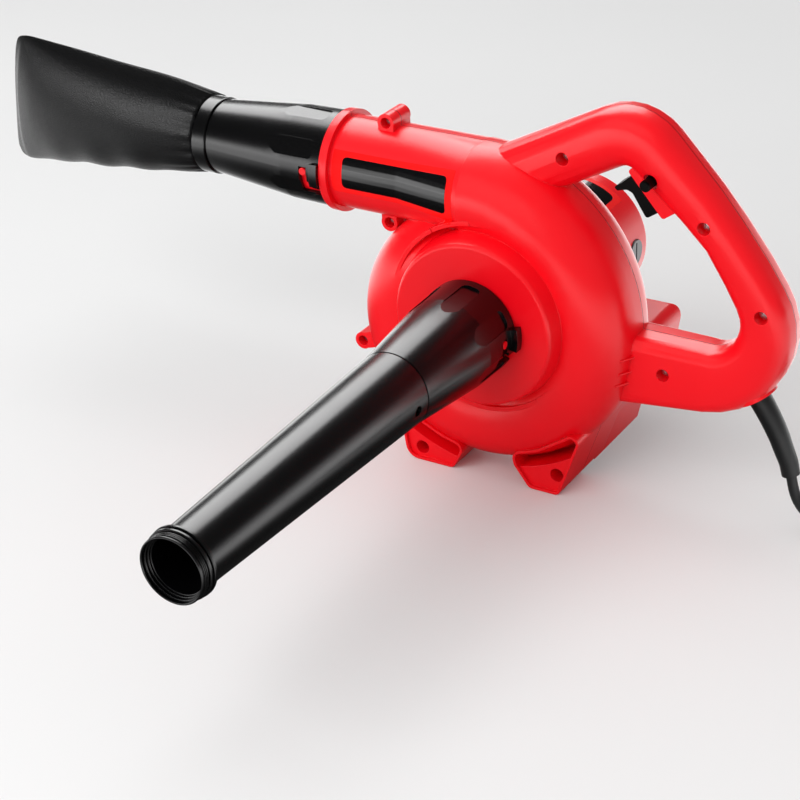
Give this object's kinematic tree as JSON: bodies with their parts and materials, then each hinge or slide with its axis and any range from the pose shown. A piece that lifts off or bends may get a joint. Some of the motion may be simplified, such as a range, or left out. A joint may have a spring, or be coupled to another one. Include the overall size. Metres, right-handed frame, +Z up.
{
  "type": "corded suction blower",
  "caption": "Corded scroll blower set up for suction, with loop handle, trigger, intake pipe on a bayonet adapter and a dust bag on the outlet.",
  "frame": {"origin": "on the floor under the middle of the blower with its pipe and bag, without the mains lead", "axes": "+X towards the handle, away from the dust bag; +Y to the rear, along the fan axis, away from the suction pipe; +Z up"},
  "size_m": [0.7536, 0.4987, 0.2692],
  "materials": {
    "red_abs": "glossy moulded red",
    "black_gloss": "glossy black",
    "black_matt": "matt black",
    "grey_matt": "matt grey",
    "bag_cloth": "woven black cloth",
    "aluminium": "cast",
    "lamination": "bare sheet steel",
    "copper": "enamelled copper",
    "brass": "plain",
    "carbon": "pressed carbon",
    "cord_rubber": "black rubber",
    "plated": "plated",
    "steel": "zinc plated"
  },
  "bodies": {
    "body": {"front_housing": "red_abs", "rear_housing": "red_abs", "motor_cover": "red_abs", "bearing_bracket": "aluminium", "front_bearing": "steel", "rear_bearing": "steel", "stator_core": "lamination", "field_coils": "copper", "brush_holders": "brass", "carbon_brushes": "carbon", "brush_springs": "steel", "brush_caps": "grey_matt", "switch_body": "black_matt", "trigger_spring": "steel", "lock_spring": "steel", "cord_clamp": "black_matt", "handle_screws": "steel", "seam_screws": "steel", "foot_screws": "steel", "cover_screws": "steel", "bracket_screws": "steel", "clamp_screws": "steel", "strain_relief": "cord_rubber", "inner_lead": "cord_rubber", "cord": "cord_rubber", "cord_coil": "cord_rubber", "coil_tie": "black_matt", "plug_body": "cord_rubber", "plug_pins": "plated"},
    "rotor": {"impeller": "aluminium", "impeller_washer": "steel", "impeller_nut": "steel", "motor_shaft": "steel", "cooling_fan": "black_matt", "armature_core": "lamination", "armature_windings": "copper", "commutator": "copper"},
    "trigger": {"trigger": "black_matt"},
    "lock_button": {"lock_button": "black_matt"},
    "suction_side": {"inlet_adapter": "black_gloss", "suction_pipe": "black_gloss"},
    "bag_side": {"outlet_adapter": "black_gloss", "bag_collar": "black_gloss", "dust_bag": "bag_cloth"}
  },
  "joints": [
    {"name": "rotor_spin", "type": "hinge", "parent": "body", "child": "rotor", "pos_m": [0.10305, 0.13065, 0.122], "axis": [0, 1, 0], "continuous": true},
    {"name": "trigger_press", "type": "slide", "parent": "body", "child": "trigger", "axis": [0.7581, 0, 0.6521], "range_m": [0, 0.0045], "stiffness_N_per_m": 900, "springref_m": -0.003, "deforming": ["trigger_spring"]},
    {"name": "lock_press", "type": "slide", "parent": "body", "child": "lock_button", "axis": [0, 1, 0], "range_m": [0, 0.0025], "stiffness_N_per_m": 700, "springref_m": -0.001, "deforming": ["lock_spring"]},
    {"name": "inlet_twist", "type": "hinge", "parent": "body", "child": "suction_side", "pos_m": [0.10305, 0.03065, 0.122], "axis": [0, -1, 0], "range_deg": [0, 25]},
    {"name": "outlet_twist", "type": "hinge", "parent": "body", "child": "bag_side", "pos_m": [-0.09695, 0.13065, 0.1969], "axis": [-1, 0, 0], "range_deg": [0, 25]}
  ]
}
